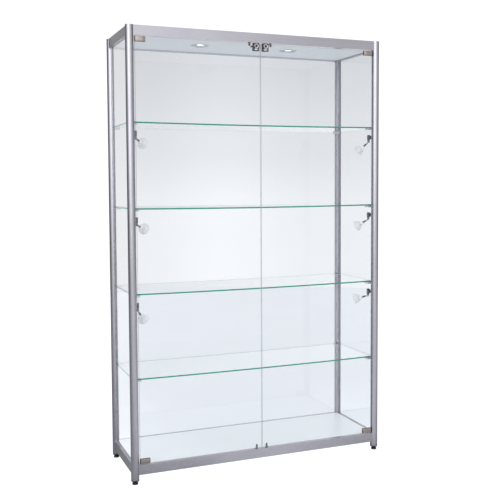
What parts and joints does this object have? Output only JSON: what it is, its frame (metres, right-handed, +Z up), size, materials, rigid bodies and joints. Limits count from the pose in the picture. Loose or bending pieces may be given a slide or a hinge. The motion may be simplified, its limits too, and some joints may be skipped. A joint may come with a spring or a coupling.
{
  "type": "display case",
  "caption": "Floor-standing glass display case with round aluminium posts, hinged glass doors, adjustable glass shelves, ceiling lights and post-mounted spotlights.",
  "frame": {"origin": "on the floor, under the middle of the case", "axes": "+X to the right seen from the front, +Y from the doors to the rear pane, +Z up"},
  "size_m": [1.2, 0.4, 1.93],
  "materials": {
    "anodised_aluminium": "satin silver anodised",
    "white_sheet": "matt white paint",
    "white_board": "smooth white laminate",
    "clear_glass": "polished clear",
    "shelf_glass": "polished, green at the edges",
    "bright_metal": "polished",
    "dark_chrome": "dark polished",
    "steel": "bright zinc",
    "lamp_rim": "silver satin",
    "downlight_glass": "lit frosted",
    "black_plastic": "satin black",
    "dark_metal": "satin dark grey",
    "reflector_glass": "dichroic coated glass"
  },
  "bodies": {
    "root": {"post_front_left": "anodised_aluminium", "post_front_right": "anodised_aluminium", "post_rear_left": "anodised_aluminium", "post_rear_right": "anodised_aluminium", "top_rail_front": "anodised_aluminium", "top_rail_rear": "anodised_aluminium", "top_rail_left": "anodised_aluminium", "top_rail_right": "anodised_aluminium", "bottom_rail_front": "anodised_aluminium", "bottom_rail_rear": "anodised_aluminium", "bottom_rail_left": "anodised_aluminium", "bottom_rail_right": "anodised_aluminium", "top_cover": "anodised_aluminium", "ceiling_panel": "white_sheet", "floor_panel": "white_board", "glass_left": "clear_glass", "glass_right": "clear_glass", "glass_rear": "clear_glass", "post_caps": "anodised_aluminium", "rail_connectors": "steel", "downlight_rims": "lamp_rim", "downlight_lamps": "downlight_glass", "transformer": "black_plastic", "cable_gland": "black_plastic", "pivot_pins": "steel", "door_stops": "black_plastic", "foot_plugs": "black_plastic", "spot_bases": "dark_metal"},
    "shelf_1_assembly": {"shelf_1": "shelf_glass", "shelf_supports_1": "bright_metal"},
    "shelf_2_assembly": {"shelf_2": "shelf_glass", "shelf_supports_2": "bright_metal"},
    "shelf_3_assembly": {"shelf_3": "shelf_glass", "shelf_supports_3": "bright_metal"},
    "shelf_4_assembly": {"shelf_4": "shelf_glass", "shelf_supports_4": "bright_metal"},
    "door_left": {"door_glass_left": "clear_glass", "hinge_clamps_left": "bright_metal", "lock_body_left": "dark_chrome"},
    "lock_left": {"lock_cylinder_left": "bright_metal"},
    "door_right": {"door_glass_right": "clear_glass", "hinge_clamps_right": "bright_metal", "lock_body_right": "dark_chrome"},
    "lock_right": {"lock_cylinder_right": "bright_metal"},
    "foot_front_left": {"foot_front_left": "black_plastic"},
    "foot_front_right": {"foot_front_right": "black_plastic"},
    "foot_rear_left": {"foot_rear_left": "black_plastic"},
    "foot_rear_right": {"foot_rear_right": "black_plastic"},
    "arm_left_low": {"spot_arm_left_low": "dark_metal"},
    "lamp_left_low": {"spot_lamp_left_low": "reflector_glass"},
    "arm_left_middle": {"spot_arm_left_middle": "dark_metal"},
    "lamp_left_middle": {"spot_lamp_left_middle": "reflector_glass"},
    "arm_left_top": {"spot_arm_left_top": "dark_metal"},
    "lamp_left_top": {"spot_lamp_left_top": "reflector_glass"},
    "arm_right_low": {"spot_arm_right_low": "dark_metal"},
    "lamp_right_low": {"spot_lamp_right_low": "reflector_glass"},
    "arm_right_middle": {"spot_arm_right_middle": "dark_metal"},
    "lamp_right_middle": {"spot_lamp_right_middle": "reflector_glass"},
    "arm_right_top": {"spot_arm_right_top": "dark_metal"},
    "lamp_right_top": {"spot_lamp_right_top": "reflector_glass"}
  },
  "joints": [
    {"name": "door_left_swing", "type": "hinge", "parent": "root", "child": "door_left", "pos_m": [-0.55, -0.1875, 0.985], "axis": [0, 0, -1], "range_deg": [0, 100]},
    {"name": "lock_left_turn", "type": "hinge", "parent": "door_left", "child": "lock_left", "pos_m": [-0.022, -0.19, 1.873], "axis": [0, 1, 0], "range_deg": [0, 90]},
    {"name": "door_right_swing", "type": "hinge", "parent": "root", "child": "door_right", "pos_m": [0.55, -0.1875, 0.985], "axis": [0, 0, 1], "range_deg": [0, 100]},
    {"name": "lock_right_turn", "type": "hinge", "parent": "door_right", "child": "lock_right", "pos_m": [0.022, -0.19, 1.873], "axis": [0, -1, 0], "range_deg": [0, 90]},
    {"name": "shelf_1_height", "type": "slide", "parent": "root", "child": "shelf_1_assembly", "axis": [0, 0, 1], "range_m": [-0.015, 0.08]},
    {"name": "shelf_2_height", "type": "slide", "parent": "root", "child": "shelf_2_assembly", "axis": [0, 0, 1], "range_m": [-0.015, 0.08]},
    {"name": "shelf_3_height", "type": "slide", "parent": "root", "child": "shelf_3_assembly", "axis": [0, 0, 1], "range_m": [-0.015, 0.08]},
    {"name": "shelf_4_height", "type": "slide", "parent": "root", "child": "shelf_4_assembly", "axis": [0, 0, 1], "range_m": [-0.015, 0.08]},
    {"name": "foot_front_left_level", "type": "slide", "parent": "root", "child": "foot_front_left", "axis": [0, 0, 1], "range_m": [-0.015, 0]},
    {"name": "foot_front_right_level", "type": "slide", "parent": "root", "child": "foot_front_right", "axis": [0, 0, 1], "range_m": [-0.015, 0]},
    {"name": "foot_rear_left_level", "type": "slide", "parent": "root", "child": "foot_rear_left", "axis": [0, 0, 1], "range_m": [-0.015, 0]},
    {"name": "foot_rear_right_level", "type": "slide", "parent": "root", "child": "foot_rear_right", "axis": [0, 0, 1], "range_m": [-0.015, 0]},
    {"name": "spot_left_low_swivel", "type": "hinge", "parent": "root", "child": "arm_left_low", "pos_m": [-0.558, -0.165, 0.7485], "axis": [0, 0, 1], "range_deg": [-20, 20]},
    {"name": "spot_left_low_tilt", "type": "hinge", "parent": "arm_left_low", "child": "lamp_left_low", "pos_m": [-0.558, -0.165, 0.7395], "axis": [-0.7314, 0.682, 0], "range_deg": [-25, 25]},
    {"name": "spot_left_middle_swivel", "type": "hinge", "parent": "root", "child": "arm_left_middle", "pos_m": [-0.558, -0.165, 1.111], "axis": [0, 0, 1], "range_deg": [-20, 20]},
    {"name": "spot_left_middle_tilt", "type": "hinge", "parent": "arm_left_middle", "child": "lamp_left_middle", "pos_m": [-0.558, -0.165, 1.102], "axis": [-0.7314, 0.682, 0], "range_deg": [-25, 25]},
    {"name": "spot_left_top_swivel", "type": "hinge", "parent": "root", "child": "arm_left_top", "pos_m": [-0.558, -0.165, 1.4735], "axis": [0, 0, 1], "range_deg": [-20, 20]},
    {"name": "spot_left_top_tilt", "type": "hinge", "parent": "arm_left_top", "child": "lamp_left_top", "pos_m": [-0.558, -0.165, 1.4645], "axis": [-0.7314, 0.682, 0], "range_deg": [-25, 25]},
    {"name": "spot_right_low_swivel", "type": "hinge", "parent": "root", "child": "arm_right_low", "pos_m": [0.558, -0.165, 0.7485], "axis": [0, 0, -1], "range_deg": [-20, 20]},
    {"name": "spot_right_low_tilt", "type": "hinge", "parent": "arm_right_low", "child": "lamp_right_low", "pos_m": [0.558, -0.165, 0.7395], "axis": [-0.7314, -0.682, 0], "range_deg": [-25, 25]},
    {"name": "spot_right_middle_swivel", "type": "hinge", "parent": "root", "child": "arm_right_middle", "pos_m": [0.558, -0.165, 1.111], "axis": [0, 0, -1], "range_deg": [-20, 20]},
    {"name": "spot_right_middle_tilt", "type": "hinge", "parent": "arm_right_middle", "child": "lamp_right_middle", "pos_m": [0.558, -0.165, 1.102], "axis": [-0.7314, -0.682, 0], "range_deg": [-25, 25]},
    {"name": "spot_right_top_swivel", "type": "hinge", "parent": "root", "child": "arm_right_top", "pos_m": [0.558, -0.165, 1.4735], "axis": [0, 0, -1], "range_deg": [-20, 20]},
    {"name": "spot_right_top_tilt", "type": "hinge", "parent": "arm_right_top", "child": "lamp_right_top", "pos_m": [0.558, -0.165, 1.4645], "axis": [-0.7314, -0.682, 0], "range_deg": [-25, 25]}
  ]
}
